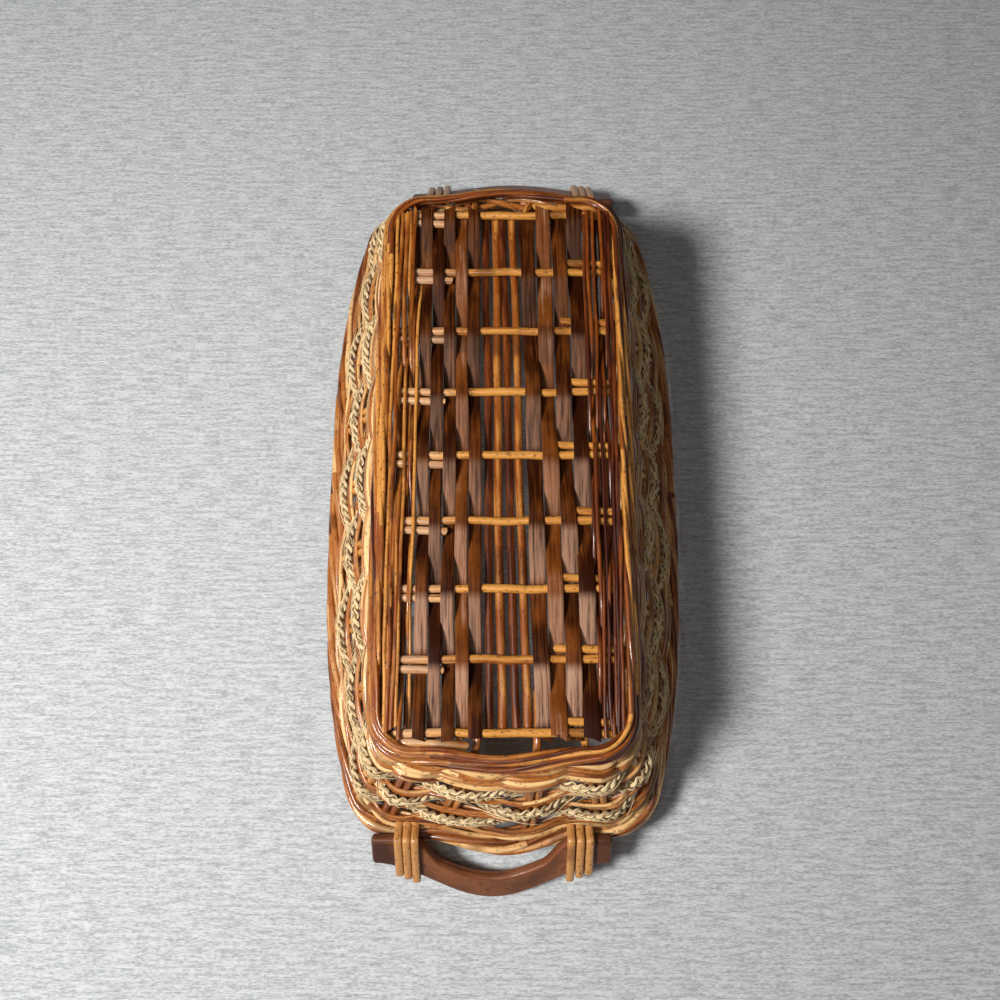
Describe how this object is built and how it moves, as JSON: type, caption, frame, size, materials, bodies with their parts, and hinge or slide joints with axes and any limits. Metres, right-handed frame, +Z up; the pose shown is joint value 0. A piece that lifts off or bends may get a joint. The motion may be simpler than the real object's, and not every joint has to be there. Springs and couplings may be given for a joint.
{
  "type": "wine bottle basket",
  "caption": "Oblong wicker basket for wine bottles, woven of rods, splints and seagrass braid, with a wooden handle lashed to each end, turned over on its handles.",
  "frame": {"origin": "middle of the bounding box's floor, under the basket as pictured: turned over and standing on the bows of its two handles", "axes": "+Z up, out of the outside of the basket's base; +Y along the basket to the far handle; +X to the right as seen from the near handle"},
  "size_m": [0.2408, 0.524, 0.1252],
  "materials": {
    "stake_rod": "varnished cane",
    "dark_splint": "varnished dark bark splint",
    "base_cane": "varnished cane",
    "weaver_cane": "varnished cane",
    "seagrass": "matt plaited seagrass",
    "rim_cane": "varnished cane",
    "handle_wood": "stained and varnished",
    "lashing_cane": "satin cane"
  },
  "bodies": {
    "basket": {"cross_stake_1": "stake_rod", "cross_stake_2": "stake_rod", "cross_stake_3": "stake_rod", "cross_stake_4": "stake_rod", "cross_stake_5": "stake_rod", "cross_stake_6": "stake_rod", "cross_stake_7": "stake_rod", "cross_stake_8": "stake_rod", "cross_stake_9": "stake_rod", "far_end_stake_1": "stake_rod", "far_end_stake_2": "stake_rod", "far_end_stake_3": "stake_rod", "far_end_stake_4": "stake_rod", "near_end_stake_1": "stake_rod", "near_end_stake_2": "stake_rod", "near_end_stake_3": "stake_rod", "near_end_stake_4": "stake_rod", "base_splint_1": "dark_splint", "base_splint_2": "dark_splint", "base_splint_3": "dark_splint", "base_splint_4": "dark_splint", "base_splint_5": "dark_splint", "base_splint_6": "dark_splint", "base_splint_7": "dark_splint", "base_splint_8": "dark_splint", "base_splint_9": "dark_splint", "base_rod_1": "base_cane", "base_rod_2": "base_cane", "base_rod_3": "base_cane", "base_rod_4": "base_cane", "edge_weaver_1": "base_cane", "edge_weaver_2": "base_cane", "edge_weaver_3": "base_cane", "edge_weaver_4": "base_cane", "edge_weaver_5": "base_cane", "edge_weaver_6": "base_cane", "upset_wale_1": "weaver_cane", "upset_wale_2": "weaver_cane", "upset_wale_3": "weaver_cane", "weaver_1": "weaver_cane", "weaver_2": "weaver_cane", "weaver_3": "weaver_cane", "weaver_4": "weaver_cane", "weaver_5": "weaver_cane", "weaver_6": "weaver_cane", "braid_1": "seagrass", "braid_2": "seagrass", "braid_3": "seagrass", "rim_border": "rim_cane"},
    "near_handle_body": {"near_handle": "handle_wood", "near_left_lashing": "lashing_cane", "near_right_lashing": "lashing_cane"},
    "far_handle_body": {"far_handle": "handle_wood", "far_left_lashing": "lashing_cane", "far_right_lashing": "lashing_cane"}
  },
  "joints": [
    {"name": "near_handle_hinge", "type": "hinge", "parent": "basket", "child": "near_handle_body", "pos_m": [-0.007, -0.219, 0.02703], "axis": [1, 0, 0], "range_deg": [0, 45]},
    {"name": "far_handle_hinge", "type": "hinge", "parent": "basket", "child": "far_handle_body", "pos_m": [0.007, 0.219, 0.02703], "axis": [-1, 0, 0], "range_deg": [0, 45]}
  ]
}
